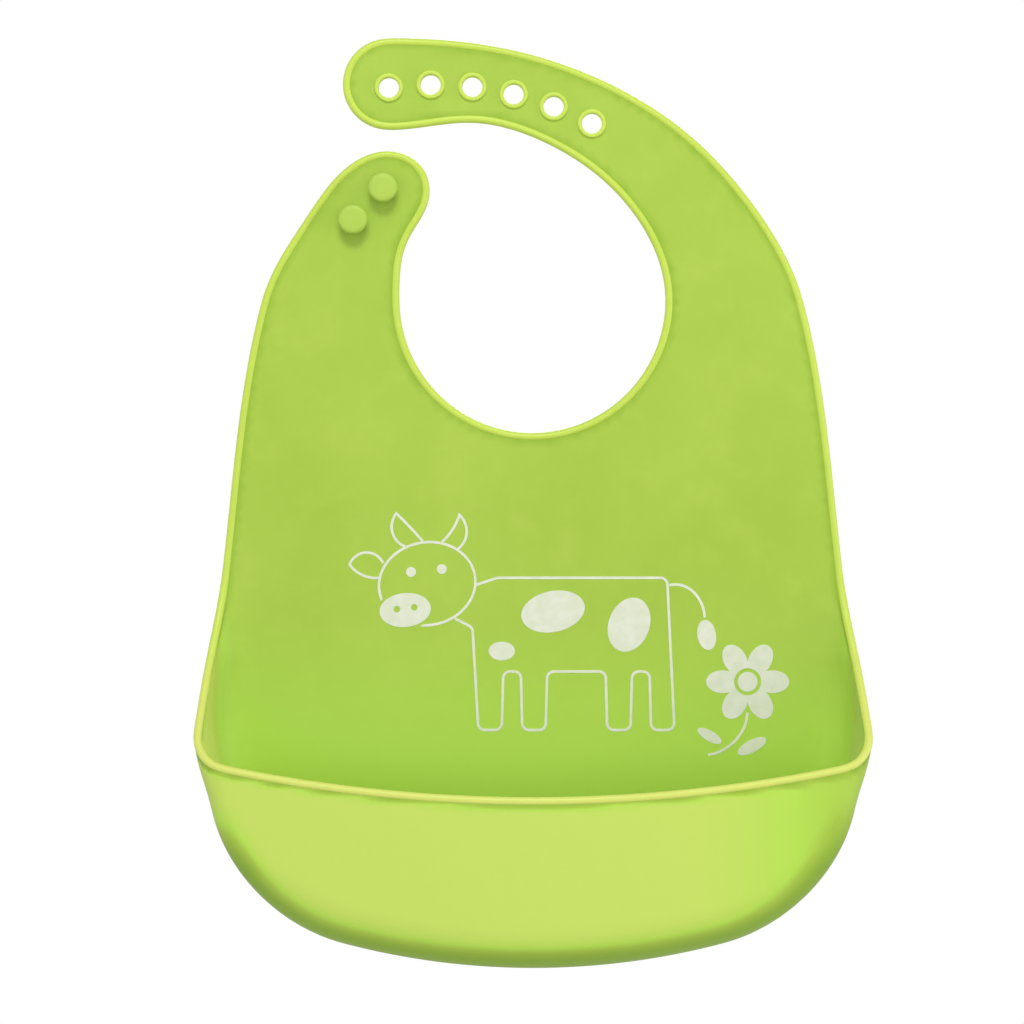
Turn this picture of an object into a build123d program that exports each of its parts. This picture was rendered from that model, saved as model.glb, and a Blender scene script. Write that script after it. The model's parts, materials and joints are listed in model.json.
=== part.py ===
"""Baby bib moulded in silicone: collar with two neck straps, apron and crumb pouch.

Frame: millimetres, +Z up as worn, the front faces -Y and +X is to the viewer's right.
The origin is the centre of the neck opening, on the middle plane of the flat sheet.
The bib is one flexible moulding, so its nodes are the stretches between its bend lines.
"""
from build123d import *
from math import cos, radians, sin
import os

os.makedirs("parts", exist_ok=True)

# ---------------------------------------------------------------- driving dimensions
SHEET = 1.8                  # thickness of the flat sheet and of the pouch wall
BEAD = 3.2                   # width and thickness of the raised edge bead
NECK_RADIUS = 45.3           # lower half of the neck opening
STRAP_CAP_RADIUS = 16.0      # round end of the strap with the holes
STRAP_CAP_CENTRE = (-49.3, 73.8)

HOLE_COUNT = 6
HOLE_RADIUS = 3.45
COLLAR_RADIUS = 4.9          # outside of the raised ring round each hole
COLLAR_LENGTH = 3.4
COLLAR_ROUND = 0.5
HOLE_ARC_CENTRE = (-33.8, -43.7)
HOLE_ARC_RADIUS = 117.2
HOLE_FIRST_ANGLE = 97.5      # nearest the strap's end
HOLE_PITCH_ANGLE = 7.0       # 14.3 mm along the arc

STUD_PLACES = {"upper": (-51.0, 38.0), "lower": (-61.2, 27.1)}
STUD_STEM_RADIUS = 3.2
STUD_HEAD_RADIUS = 5.0
STUD_STEM_LENGTH = 3.0
STUD_HEAD_LENGTH = 2.4
STUD_HEAD_ROUND = 0.9

APRON_HINGE_Z = -54.0        # bend line between the collar and the apron
STRAP_BENDS = (-20.0, 20.0, 60.0)   # bend lines of the hole strap, as angles about the neck
STUD_BENDS = (200.0, 172.0)         # bend lines of the stud strap

POUCH_BOTTOM_Z = -223.5
POUCH_BOTTOM_RADIUS = 260.0
POUCH_BOTTOM_SWEEP = 15.0
POUCH_CORNER_RADIUS = 56.0
POUCH_CORNER_SWEEP = 65.0
POUCH_DEPTH = 40.0           # from the sheet to the front wall at its sides
POUCH_BOW = 10.0             # how much further out the middle of the front wall stands
POUCH_SIDE_SHORT = 2.0       # the bow's ends stand this far behind the pouch's depth
POUCH_EDGE_ROUND = 9.0       # round between the front wall and the sides and bottom
MOUTH_TOP_Z = -101.0         # where the mouth's cut leaves the flat sheet
MOUTH_SLOPE = 1.3            # drop of the mouth for each millimetre forward
RIM_TOP_X = 106.6            # the rim bead's middle where it leaves the sheet
RIM_CORNER_X = 110.1
RIM_CORNER_RADIUS = 10.0
RIM_SIDE_SHORT = 1.2         # the rim's corners stand this far behind the pouch's full depth
BOW_HALF_WIDTH = 120.0       # where the front wall's bow is measured from
TRAY_TOP_Z = -71.0           # above the mouth everywhere
DOOR_HALF_WIDTH = 92.0       # the part of the front wall that flexes as one
DOOR_HINGE_Z = -205.0
DOOR_GAP = 0.3
DOOR_BACK = 25.0             # how far forward of the sheet the flexing part starts

INK = 0.12                   # thickness of the printed ink film
INK_LINE = 0.9               # width of a printed line
BACK_Z = -95.0               # the printed cow's back, belly and feet
BELLY_Z = -127.0
FEET_Z = -147.0
LEG_WIDTH = 9.0
LEG_TAPER = 0.5
LEGS_X = (40.0, 25.0, -4.0, -19.0)
BODY_ROUND = 2.4
HEAD = (-36.0, -97.0)
HEAD_RADII = (17.0, 14.6)
HEAD_TILT = 10
MUZZLE = (-43.5, -106.0)
MUZZLE_RADII = (8.8, 5.8)
MUZZLE_TILT = 6
NOSTRILS = ((-2.8, 0.6), (3.2, 0.6))
NOSTRIL_RADIUS = 1.1
EYES = ((-41.5, -93.0), (-31.0, -92.0))
EYE_RADIUS = 1.7
TUFT = (59.5, -114.5, 3.2, 5.2, 10)             # centre, two radii and tilt, as in the spots
SPOTS = ((7.0, -106.5, 11.0, 7.0, 12), (33.0, -111.0, 7.0, 9.5, -20), (-10.5, -120.0, 4.5, 3.2, 0))
LEAVES = ((75.0, -152.5, 5.4, 2.1, 28), (60.5, -149.0, 4.6, 1.8, -30))
FLOWER = (73.5, -130.5)
FLOWER_HEART = 3.4
FLOWER_RING = 4.6            # clear ring round the heart
PETALS = 6
PETAL_PLACE = 8.6            # from the flower's centre to a petal's
PETAL_RADII = (5.6, 3.9)

FAR = 400.0
POINT_SPACING = 9.0          # along the outline's free curves
SECTOR_STEPS = 4
HALF_SHEET = SHEET / 2
HALF_BEAD = BEAD / 2


def polar(radius, angle):
    """A point at this distance and angle about the neck centre, in the sheet's plane."""
    return (radius * cos(radians(angle)), radius * sin(radians(angle)))


# ---------------------------------------------------------------- outline of the sheet
with BuildLine() as outline:
    bottom = JernArc((0, POUCH_BOTTOM_Z), (1, 0), POUCH_BOTTOM_RADIUS, POUCH_BOTTOM_SWEEP)
    corner = JernArc(bottom @ 1, bottom % 1, POUCH_CORNER_RADIUS, POUCH_CORNER_SWEEP)
    right_edge = Spline(
        corner @ 1,
        (111.0, -150.0),
        (107.6, -103.0),
        (104.3, -75.0),
        (99.4, -33.0),
        (92.7, 0.0),
        tangents=[corner % 1, (-0.27, 1)],
    )
    shoulder = Spline(
        right_edge @ 1,
        (75.6, 32.8),
        (53.0, 57.3),
        (27.0, 73.9),
        (-8.2, 86.0),
        (STRAP_CAP_CENTRE[0], STRAP_CAP_CENTRE[1] + STRAP_CAP_RADIUS),
        tangents=[(-0.27, 1), (-1, 0)],
    )
    cap = CenterArc(STRAP_CAP_CENTRE, STRAP_CAP_RADIUS, 90, 180)
    strap_inside = Spline(
        cap @ 1,
        (-20.5, 60.4),
        (4.1, 53.7),
        (28.7, 36.3),
        (NECK_RADIUS, 0.0),
        tangents=[(1, 0), (0, -1)],
    )
    neck = CenterArc((0, 0), NECK_RADIUS, 0, -180)
    stud_inside = Spline(
        neck @ 1,
        (-42.4, 20.5),
        (-35.2, 33.5),
        (-36.9, 45.1),
        (-49.2, 51.3),
        (-64.3, 45.1),
        (-77.3, 28.7),
        (-92.7, 0.0),
        tangents=[(0, 1), (-0.27, -1)],
    )
    left_edge = Spline(
        stud_inside @ 1,
        (-99.4, -33.0),
        (-104.3, -75.0),
        (-107.6, -103.0),
        (-111.0, -150.0),
        (-(corner @ 1).X, (corner @ 1).Y),
        tangents=[(-0.27, -1), ((corner % 1).X, -(corner % 1).Y)],
    )
    left_corner = JernArc(
        left_edge @ 1,
        ((corner % 1).X, -(corner % 1).Y),
        POUCH_CORNER_RADIUS,
        POUCH_CORNER_SWEEP,
    )
    left_bottom = JernArc(
        left_corner @ 1, left_corner % 1, POUCH_BOTTOM_RADIUS, POUCH_BOTTOM_SWEEP
    )


def outline_sketch(inset=0.0):
    """The sheet's outline, pulled in all round by this much."""

    def moved(edge, share):
        along = (edge % share).normalized()
        return edge @ share + Vector(-along.Y, along.X) * inset

    with BuildSketch() as face:
        with BuildLine():
            for edge in (bottom, corner, right_edge, shoulder, cap, strap_inside, neck,
                         stud_inside, left_edge, left_corner, left_bottom):
                if edge.geom_type == GeomType.CIRCLE:
                    ThreePointArc(moved(edge, 0), moved(edge, 0.5), moved(edge, 1))
                else:
                    count = round(edge.length / POINT_SPACING)
                    points = [moved(edge, i / count) for i in range(count + 1)]
                    Spline(*points, tangents=[edge % 0, edge % 1])
        make_face()
    return face.sketch


outline_face = outline_sketch()
inner_face = outline_sketch(BEAD)
with BuildSketch() as edge_strip:
    add(outline_face)
    add(inner_face, mode=Mode.SUBTRACT)


def sector(start, end):
    """Everything between two angles about the neck centre."""
    angles = [start + (end - start) * i / SECTOR_STEPS for i in range(SECTOR_STEPS + 1)]
    with BuildSketch() as face:
        with BuildLine():
            Polyline((0, 0), *[polar(FAR, angle) for angle in angles], close=True)
        make_face()
    return face.sketch


def band(low, high, width=FAR):
    """Everything between two heights, across this width."""
    with BuildSketch() as face:
        with Locations((0, (low + high) / 2)):
            Rectangle(width, high - low)
    return face.sketch


def common(stock, zone):
    """The faces of the stock that lie inside the zone."""
    with BuildSketch() as face:
        add(stock)
        add(zone, mode=Mode.INTERSECT)
    return face.sketch


def write(piece, name):
    """Labels a finished piece and writes its file."""
    piece.part.label = name
    export_step(piece.part, f"parts/{name}.step")


# ---------------------------------------------------------------- collar and straps
# Each stretch: where it lies, how its beads are told apart, and the beads' names in that order.
collar_zone = common(sector(STUD_BENDS[0], 360 + STRAP_BENDS[0]), band(APRON_HINGE_Z, FAR))
stretches = {
    "collar": (collar_zone, Axis.X, ("left", "neck", "right")),
    "right_shoulder": (sector(STRAP_BENDS[0], STRAP_BENDS[1]), SortBy.DISTANCE, ("inner", "outer")),
    "strap_middle": (sector(STRAP_BENDS[1], STRAP_BENDS[2]), SortBy.DISTANCE, ("inner", "outer")),
    "left_shoulder": (sector(STUD_BENDS[1], STUD_BENDS[0]), SortBy.DISTANCE, ("inner", "outer")),
}
for stretch, (zone, order, sides) in stretches.items():
    with BuildPart() as stretch_sheet:
        with BuildSketch(Plane.XZ.offset(-HALF_SHEET)):
            add(common(inner_face, zone))
        extrude(amount=SHEET)
    write(stretch_sheet, f"{stretch}_sheet")
    strips = common(edge_strip.sketch, zone).faces().sort_by(order)
    for side, strip in zip(sides, strips):
        with BuildPart() as stretch_bead:
            with BuildSketch(Plane.XZ.offset(-HALF_BEAD)):
                add(strip)
            extrude(amount=BEAD)
        write(stretch_bead, f"{stretch}_{side}_bead")

# the two straps' ends lie in one sector, the strap with the holes above the other
ends_zone = sector(STRAP_BENDS[2], STUD_BENDS[1])
tab_face, strap_face = common(inner_face, ends_zone).faces().sort_by(Axis.Y)
tab_strip, strap_strip = common(edge_strip.sketch, ends_zone).faces().sort_by(Axis.Y)

hole_places = []
for i in range(HOLE_COUNT):
    from_centre = polar(HOLE_ARC_RADIUS, HOLE_FIRST_ANGLE - i * HOLE_PITCH_ANGLE)
    hole_places.append((HOLE_ARC_CENTRE[0] + from_centre[0], HOLE_ARC_CENTRE[1] + from_centre[1]))

with BuildPart() as strap_end_sheet:
    with BuildSketch(Plane.XZ.offset(-HALF_SHEET)):
        add(strap_face)
        with Locations(*hole_places):
            Circle(COLLAR_RADIUS, mode=Mode.SUBTRACT)
    extrude(amount=SHEET)
write(strap_end_sheet, "strap_end_sheet")

for i, place in enumerate(hole_places):
    with BuildPart() as hole_collar:
        with BuildSketch(Plane.XZ.offset(-COLLAR_LENGTH / 2)):
            with Locations(place):
                Circle(COLLAR_RADIUS)
                Circle(HOLE_RADIUS, mode=Mode.SUBTRACT)
        extrude(amount=COLLAR_LENGTH)
        outer_edges = hole_collar.edges().filter_by(GeomType.CIRCLE).group_by(SortBy.RADIUS)[-1]
        fillet(outer_edges, COLLAR_ROUND)
    write(hole_collar, f"hole_collar_{i + 1}")

with BuildPart() as stud_tab_sheet:
    with BuildSketch(Plane.XZ.offset(-HALF_SHEET)):
        add(tab_face)
    extrude(amount=SHEET)
write(stud_tab_sheet, "stud_tab_sheet")

for name, strip in (("strap_end_bead", strap_strip), ("stud_tab_bead", tab_strip)):
    with BuildPart() as end_bead:
        with BuildSketch(Plane.XZ.offset(-HALF_BEAD)):
            add(strip)
        extrude(amount=BEAD)
    write(end_bead, name)

for side, place in STUD_PLACES.items():
    with BuildPart() as stud:
        with BuildSketch(Plane.XZ.offset(HALF_SHEET)):
            with Locations(place):
                Circle(STUD_STEM_RADIUS)
        extrude(amount=STUD_STEM_LENGTH)
        with BuildSketch(Plane.XZ.offset(HALF_SHEET + STUD_STEM_LENGTH)):
            with Locations(place):
                Circle(STUD_HEAD_RADIUS)
        extrude(amount=STUD_HEAD_LENGTH)
        fillet(stud.edges().filter_by(GeomType.CIRCLE).sort_by(Axis.Y)[0], STUD_HEAD_ROUND)
    write(stud, f"{side}_stud")

# ---------------------------------------------------------------- pouch
mouth_length = (1 + MOUTH_SLOPE**2) ** 0.5
mouth_plane = Plane(
    origin=(0, 0, MOUTH_TOP_Z),
    x_dir=(1, 0, 0),
    z_dir=(0, -MOUTH_SLOPE / mouth_length, 1 / mouth_length),
)


def tray(inset, back):
    """The pouch as a filled tray from this back plane, its outside pulled in by the inset."""
    side_depth = POUCH_DEPTH - POUCH_SIDE_SHORT - inset
    middle_depth = POUCH_DEPTH + POUCH_BOW - inset
    with BuildPart() as body:
        with BuildSketch(Plane.XZ.offset(back)):
            add(common(outline_sketch(inset), band(POUCH_BOTTOM_Z - BEAD, TRAY_TOP_Z)))
        extrude(amount=2 * POUCH_DEPTH)
        with BuildSketch(Plane.XY.offset(POUCH_BOTTOM_Z - BEAD)):
            with BuildLine():
                front = ThreePointArc(
                    (-BOW_HALF_WIDTH, -side_depth), (0, -middle_depth), (BOW_HALF_WIDTH, -side_depth)
                )
                Polyline(front @ 1, (BOW_HALF_WIDTH, BEAD), (-BOW_HALF_WIDTH, BEAD), front @ 0)
            make_face()
        extrude(amount=FAR, mode=Mode.INTERSECT)
        front_face = body.faces().filter_by(GeomType.CYLINDER).sort_by(Axis.Y)[0]
        rounded = front_face.edges().filter_by(lambda edge: edge.center().Z < TRAY_TOP_Z - BEAD)
        fillet(rounded, POUCH_EDGE_ROUND - inset)
    return body.part


# the wall ends just under the rim bead and starts on the face of the sheet
with BuildPart() as shell:
    add(tray(0, -HALF_SHEET))
    add(tray(SHEET, HALF_SHEET), mode=Mode.SUBTRACT)
    split(bisect_by=mouth_plane.offset(-HALF_BEAD), keep=Keep.BOTTOM)
    split(bisect_by=Plane.XZ.offset(HALF_SHEET), keep=Keep.TOP)

# the rim bead follows the middle of the wall round the mouth, from one edge bead to the other
side_y = -(POUCH_DEPTH - RIM_SIDE_SHORT) * mouth_length
middle_y = -(POUCH_DEPTH + POUCH_BOW - HALF_SHEET) * mouth_length
with BuildPart() as rim_bead:
    with BuildLine(mouth_plane) as rim_path:
        Line((RIM_TOP_X, 0), (RIM_CORNER_X, side_y))
        ThreePointArc((RIM_CORNER_X, side_y), (0, middle_y), (-RIM_CORNER_X, side_y))
        Line((-RIM_CORNER_X, side_y), (-RIM_TOP_X, 0))
        fillet(rim_path.vertices().group_by(Axis.Y)[0], RIM_CORNER_RADIUS)
    rim_wire = rim_path.wires()[0]
    with BuildSketch(Plane(origin=rim_wire @ 0, z_dir=rim_wire % 0)):
        Circle(HALF_BEAD)
    sweep(path=rim_wire)
    split(bisect_by=Plane.XZ.offset(HALF_SHEET), keep=Keep.TOP)
    with BuildSketch(Plane.XZ):
        add(band(MOUTH_TOP_Z, MOUTH_TOP_Z + 2 * BEAD))
    extrude(amount=BEAD, mode=Mode.SUBTRACT)

# the front wall's middle flexes as one, with a hair's gap to the rest
door_face = band(DOOR_HINGE_Z, MOUTH_TOP_Z, 2 * DOOR_HALF_WIDTH)
gap_face = band(DOOR_HINGE_Z - DOOR_GAP, MOUTH_TOP_Z, 2 * (DOOR_HALF_WIDTH + DOOR_GAP))

with BuildPart() as pouch_front_wall:
    add(shell.part)
    with BuildSketch(Plane.XZ.offset(DOOR_BACK)):
        add(door_face)
    extrude(amount=POUCH_DEPTH, mode=Mode.INTERSECT)
write(pouch_front_wall, "pouch_front_wall")

with BuildPart() as pouch_front_rim:
    add(rim_bead.part)
    with BuildSketch(Plane.XZ.offset(DOOR_BACK)):
        add(door_face)
    extrude(amount=POUCH_DEPTH, mode=Mode.INTERSECT)
write(pouch_front_rim, "pouch_front_rim")

with BuildPart() as pouch_basin:
    add(shell.part)
    with BuildSketch(Plane.XZ.offset(DOOR_BACK - DOOR_GAP)):
        add(gap_face)
    extrude(amount=POUCH_DEPTH, mode=Mode.SUBTRACT)
write(pouch_basin, "pouch_basin")

with BuildPart() as side_rims:
    add(rim_bead.part)
    with BuildSketch(Plane.XZ.offset(DOOR_BACK - DOOR_GAP)):
        add(gap_face)
    extrude(amount=POUCH_DEPTH, mode=Mode.SUBTRACT)
left_rim, right_rim = side_rims.solids().sort_by(Axis.X)
for name, rim in (("pouch_left_rim", left_rim), ("pouch_right_rim", right_rim)):
    with BuildPart() as side_rim:
        add(rim)
    write(side_rim, name)

# ---------------------------------------------------------------- apron
with BuildPart() as apron_sheet:
    with BuildSketch(Plane.XZ.offset(-HALF_SHEET)):
        add(common(inner_face, band(-FAR, APRON_HINGE_Z)))
        add(common(outline_face, band(-FAR, MOUTH_TOP_Z)))
    extrude(amount=SHEET)
write(apron_sheet, "apron_sheet")

apron_strips = common(edge_strip.sketch, band(MOUTH_TOP_Z, APRON_HINGE_Z)).faces()
left_strip, right_strip = apron_strips.sort_by(Axis.X)
for name, strip in (("apron_left_bead", left_strip), ("apron_right_bead", right_strip)):
    with BuildPart() as apron_bead:
        with BuildSketch(Plane.XZ.offset(-HALF_BEAD)):
            add(strip)
        extrude(amount=BEAD)
    write(apron_bead, name)

# ---------------------------------------------------------------- printed motif
# A plain cow seen from its side, and a daisy: solid ink shapes and lines of even width.
INK_PLANE = Plane.XZ.offset(HALF_SHEET)


def tilted(x, z, tilt):
    """A place on the ink's plane, turned by the tilt."""
    return Locations(Location((x, z, 0), (0, 0, 1), tilt))


leg_points = []
for leg_x in LEGS_X:
    leg_points += [
        (leg_x + LEG_WIDTH, BELLY_Z),
        (leg_x + LEG_WIDTH - LEG_TAPER, FEET_Z),
        (leg_x + LEG_TAPER, FEET_Z),
        (leg_x, BELLY_Z),
    ]
nape = [(-21.0, -98.0), (-12.0, BACK_Z), (46.0, BACK_Z)]
chest = [(-20.5, -112.0), (-26.5, -108.9)]

with BuildPart() as cow_outline:
    with BuildSketch(INK_PLANE):
        with BuildLine() as body_line:
            FilletPolyline(*nape, *leg_points[1:-1], *chest, radius=BODY_ROUND)
        with BuildLine() as horns_line:
            ThreePointArc((-43.0, -84.5), (-48.0, -79.0), (-46.5, -73.0))
            ThreePointArc((-46.5, -73.0), (-42.5, -77.0), (-37.5, -82.5))
            ThreePointArc((-31.0, -82.8), (-27.0, -78.0), (-25.0, -73.5))
            ThreePointArc((-25.0, -73.5), (-22.5, -79.5), (-26.0, -85.5))
        with BuildLine() as ears_line:
            ThreePointArc((-51.0, -90.0), (-58.0, -86.5), (-62.5, -90.5))
            ThreePointArc((-62.5, -90.5), (-57.0, -94.5), (-52.3, -95.0))
        with BuildLine() as tail_line:
            Spline((46.8, -97.5), (54.0, -99.0), (57.6, -103.5), (58.8, -108.6))
        for line in (body_line, horns_line, ears_line, tail_line):
            trace(line.edges(), INK_LINE)
        with tilted(*HEAD, HEAD_TILT):
            Ellipse(*HEAD_RADII)
            Ellipse(HEAD_RADII[0] - INK_LINE, HEAD_RADII[1] - INK_LINE, mode=Mode.SUBTRACT)
        with tilted(*MUZZLE, MUZZLE_TILT):
            Ellipse(MUZZLE_RADII[0] + INK_LINE, MUZZLE_RADII[1] + INK_LINE, mode=Mode.SUBTRACT)
    extrude(amount=INK)
write(cow_outline, "print_cow_outline")

with BuildPart() as cow_patches:
    with BuildSketch(INK_PLANE):
        for x, z, half_width, half_height, tilt in (*SPOTS, TUFT):
            with tilted(x, z, tilt):
                Ellipse(half_width, half_height)
    extrude(amount=INK)
write(cow_patches, "print_cow_patches")

with BuildPart() as cow_face:
    with BuildSketch(INK_PLANE):
        with tilted(*MUZZLE, MUZZLE_TILT):
            Ellipse(*MUZZLE_RADII)
            with Locations(*NOSTRILS):
                Circle(NOSTRIL_RADIUS, mode=Mode.SUBTRACT)
        with Locations(*EYES):
            Circle(EYE_RADIUS)
    extrude(amount=INK)
write(cow_face, "print_cow_face")

with BuildPart() as flower_petals:
    with BuildSketch(INK_PLANE):
        with Locations(FLOWER):
            with PolarLocations(PETAL_PLACE, PETALS):
                Ellipse(*PETAL_RADII)
            Circle(FLOWER_RING, mode=Mode.SUBTRACT)
            Circle(FLOWER_HEART)
    extrude(amount=INK)
write(flower_petals, "print_flower_petals")

with BuildPart() as flower_stem:
    with BuildSketch(INK_PLANE):
        with BuildLine() as stem_line:
            Spline((73.4, -141.0), (71.6, -147.5), (67.0, -152.6), (60.0, -155.5))
        trace(stem_line.edges(), INK_LINE)
        for x, z, half_length, half_width, tilt in LEAVES:
            with tilted(x, z, tilt):
                Ellipse(half_length, half_width)
    extrude(amount=INK)
write(flower_stem, "print_flower_stem")
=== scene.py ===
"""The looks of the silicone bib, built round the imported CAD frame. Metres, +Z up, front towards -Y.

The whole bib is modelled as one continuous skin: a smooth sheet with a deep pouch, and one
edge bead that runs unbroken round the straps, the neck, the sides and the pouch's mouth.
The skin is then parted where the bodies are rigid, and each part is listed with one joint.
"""

import json
from math import atan2, cos, degrees, pi, radians, sin

import bmesh
import bpy
import numpy as np
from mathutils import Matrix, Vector
from mathutils.geometry import delaunay_2d_cdt


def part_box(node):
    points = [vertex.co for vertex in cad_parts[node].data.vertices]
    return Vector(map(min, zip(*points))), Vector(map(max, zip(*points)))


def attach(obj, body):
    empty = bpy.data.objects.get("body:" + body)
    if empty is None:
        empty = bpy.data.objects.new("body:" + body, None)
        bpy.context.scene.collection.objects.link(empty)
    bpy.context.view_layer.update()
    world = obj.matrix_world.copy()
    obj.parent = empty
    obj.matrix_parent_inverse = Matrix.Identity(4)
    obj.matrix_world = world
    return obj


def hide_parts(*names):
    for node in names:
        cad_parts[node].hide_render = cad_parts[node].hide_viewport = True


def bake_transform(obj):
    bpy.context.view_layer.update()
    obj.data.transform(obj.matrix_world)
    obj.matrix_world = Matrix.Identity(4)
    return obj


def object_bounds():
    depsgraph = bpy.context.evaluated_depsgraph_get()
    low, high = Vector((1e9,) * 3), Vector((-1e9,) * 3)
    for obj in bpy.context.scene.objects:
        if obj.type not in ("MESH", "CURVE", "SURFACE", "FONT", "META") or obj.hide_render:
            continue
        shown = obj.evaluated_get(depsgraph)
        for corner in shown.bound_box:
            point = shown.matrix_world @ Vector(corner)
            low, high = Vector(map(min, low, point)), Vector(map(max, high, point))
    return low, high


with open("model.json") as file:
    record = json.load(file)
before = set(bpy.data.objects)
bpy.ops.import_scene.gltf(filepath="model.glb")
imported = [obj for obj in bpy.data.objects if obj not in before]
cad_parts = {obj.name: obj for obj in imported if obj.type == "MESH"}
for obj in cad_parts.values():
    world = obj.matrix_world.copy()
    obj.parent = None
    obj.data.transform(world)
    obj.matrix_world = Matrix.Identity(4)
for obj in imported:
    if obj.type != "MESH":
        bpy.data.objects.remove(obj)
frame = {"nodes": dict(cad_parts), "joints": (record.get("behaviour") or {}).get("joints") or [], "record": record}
cad_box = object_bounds()
joints = {joint["name"]: joint for joint in frame["joints"]}
mounts = {mount["name"]: mount for mount in frame["record"]["mounts"]}
MM = 0.001

# ---------------------------------------------------------------- sizes, mm
SHEET = 1.8                  # the sheet's thickness
BEAD_RADIUS = 1.4
EDGE_INSET = 1.6             # from the outer edge to the middle of the bead
NECK_RADIUS = 45.3
CAP_RADIUS = 16.0
CAP_CENTRE = np.array((-49.3, 73.8))
POUCH_BOTTOM_Z = -223.5
BOTTOM_RADIUS = 260.0
BOTTOM_SWEEP = 14.0          # degrees, from the middle to the corner's arc
CORNER_RADIUS = 60.0
CORNER_SWEEP = 65.0          # degrees
HALF_WIDTH = 111.0           # of the pouch, where the front wall's bow has come to nothing
SHOULDER_LEAN = 0.27         # how far the outline leans inwards for each mm up, at the neck's height
POUCH_DEPTH = 39.3           # to the front wall's middle surface at its sides
POUCH_BOW = 8.9              # how much further forward the front wall's middle stands
FRONT_ROUND = 13.0           # round between the front wall and the bottom
RIM_ROUND = 6.0              # the same round at the mouth's corners
RIM_ROUND_Z = (-172.0, -212.0)   # between these heights one round grows into the other
RIM_FLARE = 1.5              # how far the mouth's corners stand out sideways
RIM_FLARE_Z = (-172.0, -150.0)   # the flare grows between these heights
BACK_ROUND = 13.0            # round between the sheet and the pouch's side or bottom wall
WING_TOP_Z = -94.0           # where the side edges begin to leave the flat sheet
MOUTH_SLOPE = 1.3            # how far the mouth's edge drops for each mm forward
MOUTH_EASE = 10.0            # its further drop where it leaves the sheet
MOUTH_EASE_LENGTH = 3.0      # the distance forward over which most of that drop is taken
CURVE_STEP = 0.7             # spacing of the points that a curve is first drawn with
GRID = 2.6                   # spacing of the sheet's points
ROW_SHARE = 0.87             # an even triangular grid's row height over its spacing
CLEAR_SHARE = 0.6            # the grid keeps this share of its spacing clear of the edges
EDGE_STEP = 2.2              # spacing along the outline
ROUND_STEPS = 9              # points across the round at the back
WALL_STEPS = 9               # points up a wall
FRONT_STEPS = 10             # points across the round at the front
WELD = 0.02                  # points as near as this become one
CUT_SNAP = 0.15              # the mouth's cut passes through points as near as this
BEAD_STEP = 1.5
BEAD_SIDES = 14
BEAD_SMOOTHING = 5           # passes that even out the bead's path
APRON_SPLIT_Z = -66.0        # between the collar's and the apron's parts of the skin
WAIST_TOP_Z = -46.5


# ---------------------------------------------------------------- outline of the sheet
def free_curve(points, start_way, end_way):
    """A smooth curve through the points, leaving and arriving in the given directions."""
    points = np.array(points, float)
    gaps = np.linalg.norm(np.diff(points, axis=0), axis=1)
    count = len(points)
    matrix = np.zeros((count, count))
    right = np.zeros((count, 2))
    matrix[0, 0] = matrix[-1, -1] = 1
    right[0] = np.array(start_way) / np.linalg.norm(start_way)
    right[-1] = np.array(end_way) / np.linalg.norm(end_way)
    for i in range(1, count - 1):
        before, after = gaps[i - 1], gaps[i]
        matrix[i, i - 1 : i + 2] = after, 2 * (before + after), before
        rise = before * (points[i + 1] - points[i]) / after
        right[i] = 3 * (rise + after * (points[i] - points[i - 1]) / before)
    ways = np.linalg.solve(matrix, right)
    samples = []
    for i in range(count - 1):
        steps = max(2, round(gaps[i] / CURVE_STEP))
        t = (np.arange(steps) / steps)[:, None]
        gap = gaps[i]
        samples.append(
            (2 * t**3 - 3 * t**2 + 1) * points[i]
            + (t**3 - 2 * t**2 + t) * gap * ways[i]
            + (3 * t**2 - 2 * t**3) * points[i + 1]
            + (t**3 - t**2) * gap * ways[i + 1]
        )
    return np.vstack(samples)


def arc(centre, radius, start, end):
    """An arc's points, without its last one."""
    steps = max(4, round(abs(radians(end - start)) * radius / CURVE_STEP))
    angles = np.radians(start + (end - start) * np.arange(steps) / steps)
    return np.array(centre) + radius * np.c_[np.cos(angles), np.sin(angles)]


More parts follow.
